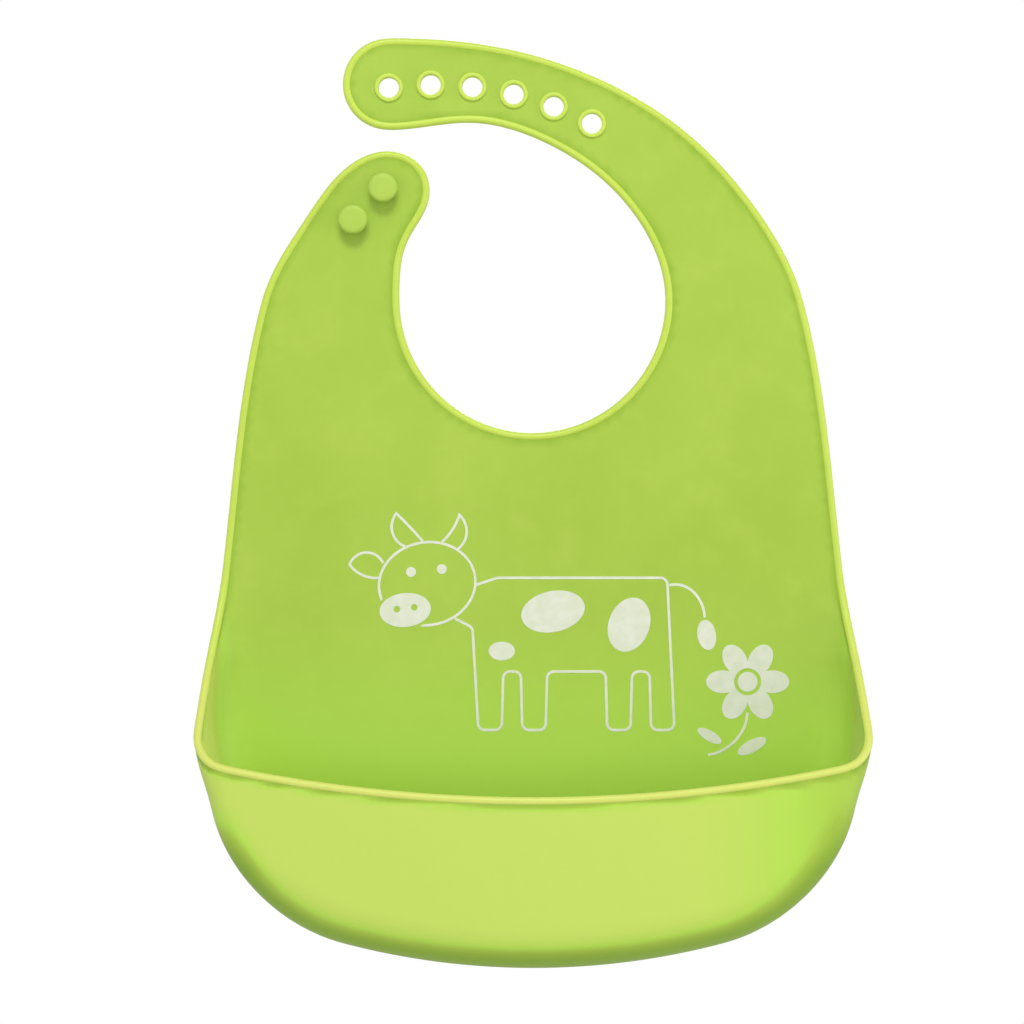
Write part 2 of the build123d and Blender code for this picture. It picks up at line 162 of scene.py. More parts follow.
def outline():
    """The sheet's outer edge, anticlockwise from the middle of the pouch's bottom."""
    bottom_centre = np.array((0, POUCH_BOTTOM_Z + BOTTOM_RADIUS))
    turn = BOTTOM_SWEEP + CORNER_SWEEP
    way = np.array((sin(radians(BOTTOM_SWEEP)), -cos(radians(BOTTOM_SWEEP))))
    corner_centre = bottom_centre + way * (BOTTOM_RADIUS - CORNER_RADIUS)
    bottom = arc(bottom_centre, BOTTOM_RADIUS, -90, BOTTOM_SWEEP - 90)
    corner = arc(corner_centre, CORNER_RADIUS, BOTTOM_SWEEP - 90, turn - 90)
    last = np.radians(turn - 90)
    corner_end = corner_centre + CORNER_RADIUS * np.array((cos(last), sin(last)))
    corner_way = (cos(radians(turn)), sin(radians(turn)))
    up_way = (-SHOULDER_LEAN, 1)
    down_way = (-SHOULDER_LEAN, -1)
    side = [corner_end, (111, -150), (107.6, -103), (104.3, -75), (99.4, -33), (92.7, 0)]
    right = free_curve(side, corner_way, up_way)
    top = CAP_CENTRE + (0, CAP_RADIUS)
    shoulder = free_curve(
        [(92.7, 0), (75.6, 32.8), (53, 57.3), (27, 73.9), (-8.2, 86), top], up_way, (-1, 0)
    )
    cap = arc(CAP_CENTRE, CAP_RADIUS, 90, 270)
    strap_inside = free_curve(
        [CAP_CENTRE - (0, CAP_RADIUS), (-20.5, 60.4), (4.1, 53.7), (28.7, 36.3), (NECK_RADIUS, 0)],
        (1, 0), (0, -1),
    )
    neck = arc((0, 0), NECK_RADIUS, 0, -180)
    stud_strap = free_curve(
        [(-NECK_RADIUS, 0), (-42.4, 20.5), (-35.2, 33.5), (-36.9, 45.1), (-49.2, 51.3),
         (-64.3, 45.1), (-77.3, 28.7), (-92.7, 0)],
        (0, 1), down_way,
    )
    mirror = np.array((-1, 1))
    left_side = [np.array(place) * mirror for place in side[::-1]]
    left = free_curve(left_side, down_way, (corner_way[0], -corner_way[1]))
    left_corner = (corner * mirror)[::-1]
    left_bottom = (bottom * mirror)[::-1]
    return np.vstack([bottom, corner, right, shoulder, cap, strap_inside, neck, stud_strap,
                      left, left_corner, left_bottom])


def even_loop(points, step):
    """The closed loop again, with its points evenly spaced."""
    closed = np.vstack([points, points[:1]])
    along = np.r_[0, np.cumsum(np.linalg.norm(np.diff(closed, axis=0), axis=1))]
    count = round(along[-1] / step)
    at = along[-1] * np.arange(count) / count
    return np.column_stack([np.interp(at, along, closed[:, i]) for i in range(points.shape[1])])


def loop_normals(points):
    """Unit vectors to the left of an anticlockwise loop, which is inwards."""
    way = np.roll(points, -1, axis=0) - np.roll(points, 1, axis=0)
    way /= np.linalg.norm(way, axis=1)[:, None]
    return np.c_[-way[:, 1], way[:, 0]]


def inset(points, distance):
    return points + loop_normals(points) * distance


def inside(points, polygon):
    """Which points lie inside the polygon."""
    x, z = points[:, 0], points[:, 1]
    hit = np.zeros(len(points), bool)
    for (x0, z0), (x1, z1) in zip(polygon, np.roll(polygon, -1, axis=0)):
        if z0 == z1:
            continue
        crosses = (z0 > z) != (z1 > z)
        hit ^= crosses & (x < (x1 - x0) * (z - z0) / (z1 - z0) + x0)
    return hit


def distance_to(points, loop):
    """Each point's distance to the loop's nearest point."""
    best = np.full(len(points), 1e9)
    for start in range(0, len(loop), 200):
        gap = points[:, None] - loop[None, start : start + 200]
        best = np.minimum(best, np.sqrt((gap**2).sum(2)).min(1))
    return best


def fill(loops, spacing):
    """A triangulated flat sheet inside the first loop and outside the others."""
    low, high = loops[0].min(0), loops[0].max(0)
    rows = int((high[1] - low[1]) / (spacing * ROW_SHARE)) + 1
    columns = int((high[0] - low[0]) / spacing) + 2
    grid = []
    for row in range(rows):
        shift = spacing / 2 * (row % 2)
        xs = low[0] + shift + spacing * np.arange(columns)
        grid.append(np.c_[xs, np.full(columns, low[1] + row * spacing * ROW_SHARE)])
    grid = np.vstack(grid)
    keep = inside(grid, loops[0])
    for hole in loops[1:]:
        keep &= ~inside(grid, hole)
    grid = grid[keep]
    grid = grid[distance_to(grid, np.vstack(loops)) > spacing * CLEAR_SHARE]
    points = np.vstack([*loops, grid])
    edges = []
    first = 0
    for loop in loops:
        count = len(loop)
        edges += [(first + i, first + (i + 1) % count) for i in range(count)]
        first += count
    places, _, faces, *_ = delaunay_2d_cdt([Vector(p) for p in points], edges, [], 0, 1e-6)
    places = np.array([tuple(p) for p in places])
    middles = np.array([places[list(face)].mean(0) for face in faces])
    good = inside(middles, loops[0])
    for hole in loops[1:]:
        good &= ~inside(middles, hole)
    return places, [face for face, ok in zip(faces, good) if ok]


# ---------------------------------------------------------------- the skin's middle surface
def smooth_step(low, high, value):
    t = np.clip((value - low) / (high - low), 0, 1)
    return t * t * (3 - 2 * t)


def mouth_drop(forward):
    """How far below the wing's top the mouth's edge lies at this distance forward."""
    return MOUTH_SLOPE * forward + MOUTH_EASE * (1 - np.exp(-forward / MOUTH_EASE_LENGTH))


def mouth_forward(drop):
    """The distance forward at which the mouth's edge has dropped this far."""
    low, high = 0.0, 200.0
    for _ in range(50):
        middle = (low + high) / 2
        if mouth_drop(middle) < drop:
            low = middle
        else:
            high = middle
    return low


def front_round(z):
    """The round between the side or bottom wall and the front wall at this height."""
    high, low = RIM_ROUND_Z
    return RIM_ROUND + (FRONT_ROUND - RIM_ROUND) * smooth_step(high, low, z)


def front_depth(x):
    """The front wall's distance in front of the sheet."""
    return POUCH_DEPTH + POUCH_BOW * (1 - (x / HALF_WIDTH) ** 2)


class Surface:
    """Points and faces, in mm, collected before they become a mesh.

    The faces marked cut are those that the mouth is cut out of.
    """

    def __init__(self):
        self.points = []
        self.faces = []
        self.cut = []

    def add(self, points, faces, cut):
        first = sum(len(p) for p in self.points)
        self.points.append(np.array(points, float))
        self.faces += [[first + i for i in face] for face in faces]
        self.cut += [cut] * len(faces)


def strip_faces(columns, rows):
    """Quads between neighbouring columns of points."""
    return [
        (c * rows + r, c * rows + r + 1, (c + 1) * rows + r + 1, (c + 1) * rows + r)
        for c in range(columns - 1)
        for r in range(rows - 1)
    ]


def build_surface(holes):
    """The sheet's and the pouch's middle surface, with walls higher than the mouth."""
    edge = even_loop(inset(outline(), EDGE_INSET), EDGE_STEP)
    ways = loop_normals(edge)
    below = edge[:, 1] < WING_TOP_Z
    tray = [i for i in range(len(edge)) if below[i]]
    split = max(range(1, len(tray)), key=lambda k: tray[k] - tray[k - 1])
    tray = tray[split:] + tray[:split]                      # from the left wing's top to the right's
    rest = [i for i in range(len(edge)) if not below[i]]

    surface = Surface()
    angles = np.radians(np.linspace(0, 90, ROUND_STEPS))
    columns = []
    for i in tray:
        # the two ends of the tray lie in the sheet's plane, so that they join it
        ends = i in (tray[0], tray[-1])
        forward = 0.0 if ends else mouth_forward(WING_TOP_Z - edge[i, 1])
        deep = min(forward, BACK_ROUND)
        column = []
        for angle in angles:
            place = edge[i] + ways[i] * BACK_ROUND * (1 - sin(angle))
            column.append((place[0], -deep * (1 - cos(angle)), place[1]))
        columns.append(column)
    round_points = np.array(columns)
    surface.add(round_points.reshape(-1, 3), strip_faces(len(tray), len(angles)), False)

    # the flat sheet: the outline above the wings, and the rounded strip's inner edge below
    inner = round_points[:, 0][:, [0, 2]]
    border = np.vstack([
        edge[rest],
        round_points[0][::-1][:, [0, 2]][:-1],
        inner,
        round_points[-1][1:][:, [0, 2]],
    ])
    places, faces = fill([border, *holes], GRID)
    surface.add(np.c_[places[:, 0], np.zeros(len(places)), places[:, 1]], faces, False)

    # side and bottom walls with the round into the front wall, where the mouth lies high enough
    walled = [k for k, i in enumerate(tray) if mouth_forward(WING_TOP_Z - edge[i, 1]) > BACK_ROUND]
    columns = []
    for k in walled:
        i = tray[k]
        column = []
        turn = front_round(edge[i, 1])
        end = front_depth(edge[i, 0]) - turn
        flare = RIM_FLARE * smooth_step(*RIM_FLARE_Z, edge[i, 1])
        for share in np.linspace(0, 1, WALL_STEPS):
            place = edge[i] - ways[i] * flare * share**3
            column.append((place[0], -(BACK_ROUND + (end - BACK_ROUND) * share), place[1]))
        for angle in np.radians(np.linspace(0, 90, FRONT_STEPS)[1:]):
            place = edge[i] + ways[i] * (turn * (1 - cos(angle)) - flare)
            depth = front_depth(place[0]) - turn * (1 - sin(angle))
            column.append((place[0], -depth, place[1]))
        columns.append(column)
    walls = np.array(columns)
    surface.add(walls.reshape(-1, 3), strip_faces(len(walled), walls.shape[1]), True)
    places, faces = fill([walls[:, -1][:, [0, 2]][::-1]], GRID)
    surface.add(np.c_[places[:, 0], -front_depth(places[:, 0]), places[:, 1]], faces, True)
    return surface


def surface_mesh(surface):
    """The middle surface as a bmesh in mm, with the pouch's mouth cut open."""
    bm = bmesh.new()
    points = np.vstack(surface.points)
    verts = [bm.verts.new(p) for p in points]
    cut_layer = bm.faces.layers.int.new("cut")
    for face, cut in zip(surface.faces, surface.cut):
        made = bm.faces.new([verts[i] for i in face])
        made[cut_layer] = int(cut)
    bmesh.ops.remove_doubles(bm, verts=bm.verts, dist=WELD)
    # with each point raised by the mouth's drop there, the mouth's edge lies in a level plane
    for vert in bm.verts:
        vert.co.z += mouth_drop(-vert.co.y) if vert.co.y < 0 else 0.0
    walls = [face for face in bm.faces if face[cut_layer]]
    edges = list({edge for face in walls for edge in face.edges})
    corners = list({vert for face in walls for vert in face.verts})
    bmesh.ops.bisect_plane(
        bm, geom=walls + edges + corners, dist=CUT_SNAP, plane_co=(0, 0, WING_TOP_Z),
        plane_no=(0, 0, 1), clear_outer=False,
    )
    gone = [f for f in bm.faces if f[cut_layer] and f.calc_center_median().z > WING_TOP_Z]
    bmesh.ops.delete(bm, geom=gone, context="FACES")
    for vert in bm.verts:
        vert.co.z -= mouth_drop(-vert.co.y) if vert.co.y < 0 else 0.0
    bmesh.ops.recalc_face_normals(bm, faces=bm.faces)
    return bm


def boundary_loops(bm):
    """The mesh's open edges as ordered loops of points, longest first."""
    following = {}
    for edge in bm.edges:
        if len(edge.link_faces) == 1:
            a, b = edge.verts
            following.setdefault(a, []).append(b)
            following.setdefault(b, []).append(a)
    loops = []
    left = set(following)
    while left:
        start = min(left, key=lambda v: v.index)
        loop = [start]
        left.discard(start)
        step = following[start][0]
        while step is not start and step in left:
            left.discard(step)
            ahead = [v for v in following[step] if v is not loop[-1]]
            loop.append(step)
            step = ahead[0]
        loops.append(np.array([tuple(v.co) for v in loop]))
    return sorted(loops, key=len, reverse=True)


hole_places = [
    np.array((mount["pos_m"][0], mount["pos_m"][2])) / MM
    for name, mount in sorted(mounts.items())
    if name.startswith("strap_hole")
]
HOLE_RADIUS = mounts["strap_hole_1"]["dims"]["r_mm"]
COLLAR_LENGTH = mounts["strap_hole_1"]["dims"]["length_mm"]
collar_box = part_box("hole_collar_1")
COLLAR_RADIUS = (collar_box[1][0] - collar_box[0][0]) / 2 / MM


# ---------------------------------------------------------------- parting the skin at the bodies
def line_angle(name):
    """The angle about the neck of a strap's bend line, from 0 to 360 degrees."""
    axis = joints[name]["axis"]
    sign = -1 if name.startswith("strap") else 1
    return degrees(atan2(sign * axis[2], sign * axis[0])) % 360


STRAP_LINES = [line_angle(n) for n in ("strap_root_bend", "strap_middle_bend", "strap_end_bend")]
STUD_LINES = [line_angle(n) for n in ("stud_root_bend", "stud_tab_bend")]
SHOULDER_MIDDLE = (STRAP_LINES[0] - 360 + STRAP_LINES[1]) / 2
STRAP_MIDDLE = (STRAP_LINES[1] + STRAP_LINES[2]) / 2
STUD_MIDDLE = (STUD_LINES[0] + STUD_LINES[1]) / 2
STRAP_GAP_Z = 54.5           # between the two straps' ends, mm
PART_JOINTS = {
    "pouch": "pouch_mouth_flex",
    "waist": "apron_bend",
    "right_shoulder": "strap_root_bend",
    "hole_strap_middle": "strap_middle_bend",
    "hole_strap_end": "strap_end_bend",
    "left_shoulder": "stud_root_bend",
    "stud_strap_end": "stud_tab_bend",
}


def part_of(place):
    """The part of the skin that a place at rest, in mm, belongs to."""
    x, _, z = place
    if z < APRON_SPLIT_Z:
        return "pouch"
    if z < WAIST_TOP_Z:
        return "waist"
    angle = degrees(atan2(z, x)) % 360
    if angle > 270 or angle < SHOULDER_MIDDLE:
        return "right_shoulder"
    if angle < STRAP_MIDDLE:
        return "hole_strap_middle"
    if angle < 120 or z > STRAP_GAP_Z:
        return "hole_strap_end"
    return "stud_strap_end" if angle < STUD_MIDDLE else "left_shoulder"


def bend_across(piece):
    """Bakes the piece's transform into its mesh."""
    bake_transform(piece)


def make_piece(name, points, normals, faces, material, painted_light=None):
    """A smooth mesh piece from places in mm, with the whole skin's normals, places and painted light and shade."""
    used = sorted({i for face in faces for i in face})
    number = {old: new for new, old in enumerate(used)}
    mesh = bpy.data.meshes.new(name)
    places = [tuple(points[i] * MM) for i in used]
    mesh.from_pydata(places, [], [[number[i] for i in face] for face in faces])
    mesh.polygons.foreach_set("use_smooth", [True] * len(faces))
    mesh.normals_split_custom_set_from_vertices([tuple(normals[i]) for i in used])
    rest = mesh.attributes.new("rest_place", "FLOAT_VECTOR", "POINT")
    rest.data.foreach_set("vector", np.array(places, np.float32).ravel())
    if painted_light is not None:
        shade = mesh.attributes.new("painted_light", "FLOAT", "POINT")
        shade.data.foreach_set("value", np.array([painted_light[i] for i in used], np.float32))
    mesh.materials.append(material)
    piece = bpy.data.objects.new(name, mesh)
    bpy.context.collection.objects.link(piece)
    return piece


# ---------------------------------------------------------------- materials
def linear(red, green, blue):
    """A display colour, 0 to 255, as the shader's linear colour."""
    parts = []
    for value in (red, green, blue):
        value /= 255
        parts.append(value / 12.92 if value <= 0.04045 else ((value + 0.055) / 1.055) ** 2.4)
    return (*parts, 1.0)


class Nodes:
    """A short way to write a material's node tree."""

    def __init__(self, name):
        self.material = bpy.data.materials.new(name)
        self.material.use_nodes = True
        self.tree = self.material.node_tree
        self.tree.nodes.clear()
        self.output = self.tree.nodes.new("ShaderNodeOutputMaterial")
        self.shader = self.tree.nodes.new("ShaderNodeBsdfPrincipled")
        self.tree.links.new(self.shader.outputs[0], self.output.inputs[0])

    def add(self, kind, **settings):
        node = self.tree.nodes.new(kind)
        for key, value in settings.items():
            setattr(node, key, value)
        return node

    def link(self, source, target):
        self.tree.links.new(source, target)

    def noise(self, place, scale, detail=3.0, roughness=0.55):
        node = self.add("ShaderNodeTexNoise")
        node.inputs["Scale"].default_value = scale
        node.inputs["Detail"].default_value = detail
        node.inputs["Roughness"].default_value = roughness
        self.link(place, node.inputs["Vector"])
        return node.outputs["Fac"]

    def span(self, value, low, high, to_low, to_high):
        node = self.add("ShaderNodeMapRange")
        node.clamp = True
        for socket, number in zip(node.inputs[1:5], (low, high, to_low, to_high)):
            socket.default_value = number
        self.link(value, node.inputs[0])
        return node.outputs[0]

    def mix(self, factor, first, second):
        node = self.add("ShaderNodeMix", data_type="RGBA")
        self.link(factor, node.inputs[0])
        for socket, colour in ((node.inputs[6], first), (node.inputs[7], second)):
            if isinstance(colour, tuple):
                socket.default_value = colour
            else:
                self.link(colour, socket)
        return node.outputs[2]

    def bump(self, height, strength, distance, below=None):
        node = self.add("ShaderNodeBump")
        node.inputs["Strength"].default_value = strength
        node.inputs["Distance"].default_value = distance
        self.link(height, node.inputs["Height"])
        if below is not None:
            self.link(below, node.inputs["Normal"])
        return node.outputs[0]


def silicone(name, base, half_lit, pale, deep, roughness=0.48, attribute=True):
    """Matte moulded silicone: cloudy tone, pale blotches, fine moulded grain and a soft sheen.

    The per-point attribute read below paints light and shade into the colour: from painted shade
    in the crease beside the bead at -1 through the base at 0, a half-lit colour and the pale at 1
    to the painted glow of a thin wall with light behind it at 2.
    """
    nodes = Nodes(name)
    if attribute:
        place = nodes.add("ShaderNodeAttribute", attribute_name="rest_place").outputs["Vector"]
    else:
        place = nodes.add("ShaderNodeTexCoord").outputs["Object"]
    clouds = nodes.noise(place, CLOUD_SCALE, 4.0, 0.6)
    blotches = nodes.noise(place, BLOTCH_SCALE, 5.0, 0.65)
    grain = nodes.noise(place, GRAIN_SCALE, 2.0, 0.5)
    orange_peel = nodes.noise(place, PEEL_SCALE, 3.0, 0.5)
    colour = nodes.mix(nodes.span(clouds, 0.36, 0.66, 0.0, 1.0), deep, base)
    colour = nodes.mix(nodes.span(blotches, 0.50, 0.78, 0.0, 0.20), colour, pale)
    # painted light and shade: the attribute mixes half-lit, pale, glowing and shaded colours in
    if attribute:
        painted_light = nodes.add("ShaderNodeAttribute", attribute_name="painted_light").outputs["Fac"]
        colour = nodes.mix(nodes.span(painted_light, 0.0, HALF_LIT_LEVEL, 0.0, 1.0), colour, half_lit)
        colour = nodes.mix(nodes.span(painted_light, HALF_LIT_LEVEL, 1.0, 0.0, 1.0), colour, pale)
        colour = nodes.mix(nodes.span(painted_light, 1.0, 2.0, 0.0, 1.0), colour, LIT_WALL)
        colour = nodes.mix(nodes.span(painted_light, -1.0, 0.0, 1.0, 0.0), colour, PAINTED_SHADE)
    shader = nodes.shader
    nodes.link(colour, shader.inputs["Base Color"])
    rough = nodes.span(blotches, 0.3, 0.7, roughness - 0.05, roughness + 0.08)
    nodes.link(rough, shader.inputs["Roughness"])
    bumped = nodes.bump(orange_peel, 0.10, 0.0004)
    bumped = nodes.bump(grain, 0.16, 0.0001, bumped)
    nodes.link(bumped, shader.inputs["Normal"])
    shader.inputs["IOR"].default_value = 1.42
    shader.inputs["Specular IOR Level"].default_value = 0.42
    shader.inputs["Sheen Weight"].default_value = 0.12
    shader.inputs["Sheen Roughness"].default_value = 0.5
    shader.inputs["Sheen Tint"].default_value = (0.93, 1.0, 0.72, 1.0)
    return nodes.material


def ink(name):
    """Matte printed ink with a slightly uneven film."""
    nodes = Nodes(name)
    place = nodes.add("ShaderNodeTexCoord").outputs["Object"]
    film = nodes.noise(place, FILM_SCALE, 4.0, 0.6)
    pits = nodes.noise(place, PIT_SCALE, 3.0, 0.6)
    colour = nodes.mix(nodes.span(film, 0.35, 0.7, 0.0, 1.0), INK_THIN, INK_FULL)
    nodes.link(colour, nodes.shader.inputs["Base Color"])
    nodes.link(nodes.span(film, 0.3, 0.7, 0.55, 0.7), nodes.shader.inputs["Roughness"])
    nodes.link(nodes.bump(pits, 0.25, 0.00008), nodes.shader.inputs["Normal"])
    return nodes.material


# the noises' scales, in cells to a metre
CLOUD_SCALE = 16.0
BLOTCH_SCALE = 55.0
PEEL_SCALE = 420.0
GRAIN_SCALE = 2600.0
FILM_SCALE = 240.0
PIT_SCALE = 1500.0

PANEL = linear(168, 199, 70)
PANEL_DEEP = linear(161, 193, 62)
# painted light: a half-lit colour for places painted as if more lit
HALF_LIT = linear(178, 219, 77)
# the silicone's own pale blotches, and also painted light on the pouch's walls
PALE = linear(196, 218, 96)
# painted glow of a thin wall with light behind it
LIT_WALL = linear(231, 240, 119)
# painted shade, for the crease beside the bead and the pouch's lower edge
PAINTED_SHADE = linear(132, 172, 32)
HALF_LIT_LEVEL = 0.4             # where the half-lit painted colour lies between the base and the pale
# the bead's colours are lighter and yellower than the sheet's: painted glow of light through the thin bead
BEAD_COLOUR = linear(198, 222, 86)
BEAD_HALF_LIT = linear(204, 224, 94)
BEAD_PALE = linear(215, 225, 109)
BEAD_DEEP = linear(192, 217, 80)
STUD_COLOUR = linear(177, 207, 82)
STUD_DEEP = linear(170, 201, 75)
INK_FULL = linear(228, 231, 214)
INK_THIN = linear(216, 222, 196)

sheet_material = silicone("silicone_sheet", PANEL, HALF_LIT, PALE, PANEL_DEEP)
bead_material = silicone("silicone_bead", BEAD_COLOUR, BEAD_HALF_LIT, BEAD_PALE, BEAD_DEEP, 0.38)
collar_material = silicone(
    "silicone_collar", BEAD_COLOUR, BEAD_HALF_LIT, BEAD_PALE, BEAD_DEEP, 0.40, attribute=False
)
stud_material = silicone(
    "silicone_stud", STUD_COLOUR, HALF_LIT, PALE, STUD_DEEP, 0.42, attribute=False
)
ink_material = ink("print_ink")


# ---------------------------------------------------------------- the skin
# where the painted light and shade in the silicone's colour change: each pair is where a change starts and ends,
# in mm
# painted light: the pouch's inner walls are painted paler, as if glowing through the thin silicone, the left one
# most
INNER_WALL_Y = (-1.0, -14.0)
LEFT_WALL_X = (-60.0, -104.0)
LEFT_WALL_GLOW = 0.9
# painted light: the panel low inside the pouch is painted lighter, in place of light that falls off there
LOW_PANEL_Z = (-100.0, -165.0)
# painted light: the pouch's outside is painted paler, as if lit and glowing
OUTER_WALL_Y = (-1.0, -24.0)
OUTER_WALL_LIGHT = 0.92
# painted shade: the pouch's outside is painted less pale towards the right, away from the light
RIGHT_SIDE_X = (50.0, 108.0)
RIGHT_SIDE_SHADE = 0.85
# a band of painted shade along the pouch's lower edge outside, where its round turns down from the light
SHADE_BAND_REACH = (12.0, 4.0)     # from the outline
SHADE_BAND_Y = (-5.0, -20.0)
SHADE_BAND_Z = (-165.0, -190.0)
# painted shade in the crease beside the bead
GROOVE_SHADE_REACH = (3.2, 1.0)    # from the bead's middle
PAINTED_SHADE_LEVEL = -0.8
# painted light: the bead is painted paler from the wings' tops down to the pouch's rim
RIM_Z = (WING_TOP_Z, WING_TOP_Z - 50.0)


def painted_light_and_shade(places):
    """The painted light and shade in the silicone's colour on the skin's front, and then on its back.

    The pouch's walls are painted palest, as if lit and glowing through the thin silicone, and a band of painted
    shade runs along its lower edge outside.
    """
    x, y, z = places.T
    left_wall = smooth_step(*LEFT_WALL_X, x)
    # painted light on the pouch's inner walls, brightest on the left
    inner_walls = smooth_step(*INNER_WALL_Y, y) * (1 + LEFT_WALL_GLOW * left_wall)
    # painted light on the low panel inside the pouch
    low_panel = HALF_LIT_LEVEL * smooth_step(*LOW_PANEL_Z, z)
    # painted light on the pouch's outside
    outer_walls = OUTER_WALL_LIGHT * smooth_step(*OUTER_WALL_Y, y)
    from_outline = distance_to(places[:, [0, 2]], outline())
    # painted shade along the pouch's lower edge outside
    shade_band = smooth_step(*SHADE_BAND_REACH, from_outline) * smooth_step(*SHADE_BAND_Y, y) * smooth_step(*SHADE_BAND_Z, z)
    # painted shade on the right of the pouch's outside
    right_side_shade = 1 - RIGHT_SIDE_SHADE * smooth_step(*RIGHT_SIDE_X, x)
    front = np.maximum(inner_walls, low_panel)
    back = outer_walls * right_side_shade * (1 - shade_band) + PAINTED_SHADE_LEVEL * shade_band
    return np.r_[front, back]


def build_skin():
    """The sheet and pouch with their real thickness, parted where the bodies are rigid.

    Its points are the middle surface's, moved to the sheet's front or the pouch's inside, and
    then the same again for the back and the outside. It returns the path of the whole edge.
    """
    hole_loops = [
        arc(place, (HOLE_RADIUS + COLLAR_RADIUS) / 2, 0, 360)[::4] for place in hole_places
    ]
    middle = surface_mesh(build_surface(hole_loops))
    middle.verts.index_update()
    middle.faces.ensure_lookup_table()
    edge_loops = boundary_loops(middle)
    flat = min(middle.faces, key=lambda f: (f.calc_center_median() - Vector((0, 0, -90))).length)
    front = -1.0 if flat.normal.y > 0 else 1.0
    middle.normal_update()
    places = np.array([tuple(v.co) for v in middle.verts])
    ways = np.array([tuple(v.normal) for v in middle.verts]) * front
    count = len(places)
    points = np.vstack([places + ways * SHEET / 2, places - ways * SHEET / 2])
    normals = np.vstack([ways, -ways])
    # painted shade: the sheet is painted darker in the crease beside the bead, where shade falls
    groove_shade = np.tile(smooth_step(*GROOVE_SHADE_REACH, distance_to(places, edge_loops[0])), 2)
    painted_light = painted_light_and_shade(places) * (1 - groove_shade) + PAINTED_SHADE_LEVEL * groove_shade
    faces = {part: [] for part in PART_JOINTS}
    for face in middle.faces:
        ring = [v.index for v in face.verts]
        if front < 0:
            ring = ring[::-1]
        part = part_of(tuple(face.calc_center_median()))
        faces[part].append(ring)
        faces[part].append([i + count for i in ring[::-1]])
    for edge in middle.edges:
        if len(edge.link_faces) != 1:
            continue
        face = edge.link_faces[0]
        ring = [v.index for v in face.verts]
        if front < 0:
            ring = ring[::-1]
        a, b = (v.index for v in edge.verts)
        if ring[(ring.index(a) + 1) % len(ring)] != b:
            a, b = b, a
        faces[part_of(tuple(face.calc_center_median()))].append([b, a, a + count, b + count])
    middle.free()
    for part, part_faces in faces.items():
        piece = make_piece(f"skin_{part}", points, normals, part_faces, sheet_material, painted_light)
        bend_across(piece)
    return edge_loops[0]


def build_bead(path):
    """One round bead along the whole edge, parted like the skin."""
    path = even_loop(path, BEAD_STEP)
    for _ in range(BEAD_SMOOTHING):
        path = (np.roll(path, 1, axis=0) + 2 * path + np.roll(path, -1, axis=0)) / 4
    count = len(path)
    ways = np.roll(path, -1, axis=0) - np.roll(path, 1, axis=0)
    ways /= np.linalg.norm(ways, axis=1)[:, None]
    side = np.zeros((count, 3))
    side[0] = np.cross(ways[0], (0, 1, 0))
    for i in range(1, count):
        turned = side[i - 1] - ways[i] * np.dot(side[i - 1], ways[i])
        side[i] = turned / np.linalg.norm(turned)
    other = np.cross(ways, side)
    # the frame's leftover twist over the whole loop is spread evenly along it
    gap = atan2(np.dot(side[-1], other[0]), np.dot(side[-1], side[0]))
    twist = -gap * np.arange(count) / (count - 1)
    angles = 2 * pi * np.arange(BEAD_SIDES) / BEAD_SIDES
    turn = twist[:, None] + angles[None]
    normals = np.cos(turn)[..., None] * side[:, None] + np.sin(turn)[..., None] * other[:, None]
    points = path[:, None] + normals * BEAD_RADIUS
    points, normals = points.reshape(-1, 3), normals.reshape(-1, 3)
    # painted light: paler bead towards the pouch's rim
    rim = smooth_step(*RIM_Z, points[:, 2])
    faces = {part: [] for part in PART_JOINTS}
    for i in range(count):
        part = part_of(tuple((path[i] + path[(i + 1) % count]) / 2))
        for k in range(BEAD_SIDES):
            a, b = i * BEAD_SIDES + k, i * BEAD_SIDES + (k + 1) % BEAD_SIDES
            c, d = (a + BEAD_SIDES) % len(points), (b + BEAD_SIDES) % len(points)
            faces[part].append([a, b, d, c])
    for part, part_faces in faces.items():
        piece = make_piece(f"bead_{part}", points, normals, part_faces, bead_material, rim)
        bend_across(piece)


def lathe(name, centre, profile, material, closed, sides=64):
    """A turned piece about an axis along Y, from (radius, y) points in mm."""
    profile = np.array(profile, float)
    bm = bmesh.new()
    rings = []
    for radius, y in profile:
        if radius < 1e-6:
            rings.append([bm.verts.new((centre[0] * MM, y * MM, centre[1] * MM))])
            continue
        ring = []
        for k in range(sides):
            angle = 2 * pi * k / sides
            x, z = centre[0] + radius * cos(angle), centre[1] + radius * sin(angle)
            ring.append(bm.verts.new((x * MM, y * MM, z * MM)))
        rings.append(ring)
    pairs = list(zip(rings, rings[1:]))
    if closed:
        pairs.append((rings[-1], rings[0]))
    for low, high in pairs:
        for k in range(sides):
            ring = [low[k % len(low)], low[(k + 1) % len(low)],
                    high[(k + 1) % len(high)], high[k % len(high)]]
            bm.faces.new(list(dict.fromkeys(ring)))
    bmesh.ops.recalc_face_normals(bm, faces=bm.faces)
    mesh = bpy.data.meshes.new(name)
    bm.to_mesh(mesh)
    bm.free()
    mesh.polygons.foreach_set("use_smooth", [True] * len(mesh.polygons))
    mesh.materials.append(material)
    piece = bpy.data.objects.new(name, mesh)
    bpy.context.collection.objects.link(piece)
    return piece


def rounded(corners, radius, steps=5):
    """The closed (radius, y) outline with every corner rounded."""
    corners = [np.array(c, float) for c in corners]
    points = []
    for i, corner in enumerate(corners):
        before = corners[i - 1] - corner
        after = corners[(i + 1) % len(corners)] - corner
        before /= np.linalg.norm(before)
        after /= np.linalg.norm(after)
        for k in range(steps + 1):
            t = k / steps
            start, end = corner + before * radius, corner + after * radius
            points.append((1 - t) ** 2 * start + 2 * t * (1 - t) * corner + t**2 * end)
    return points


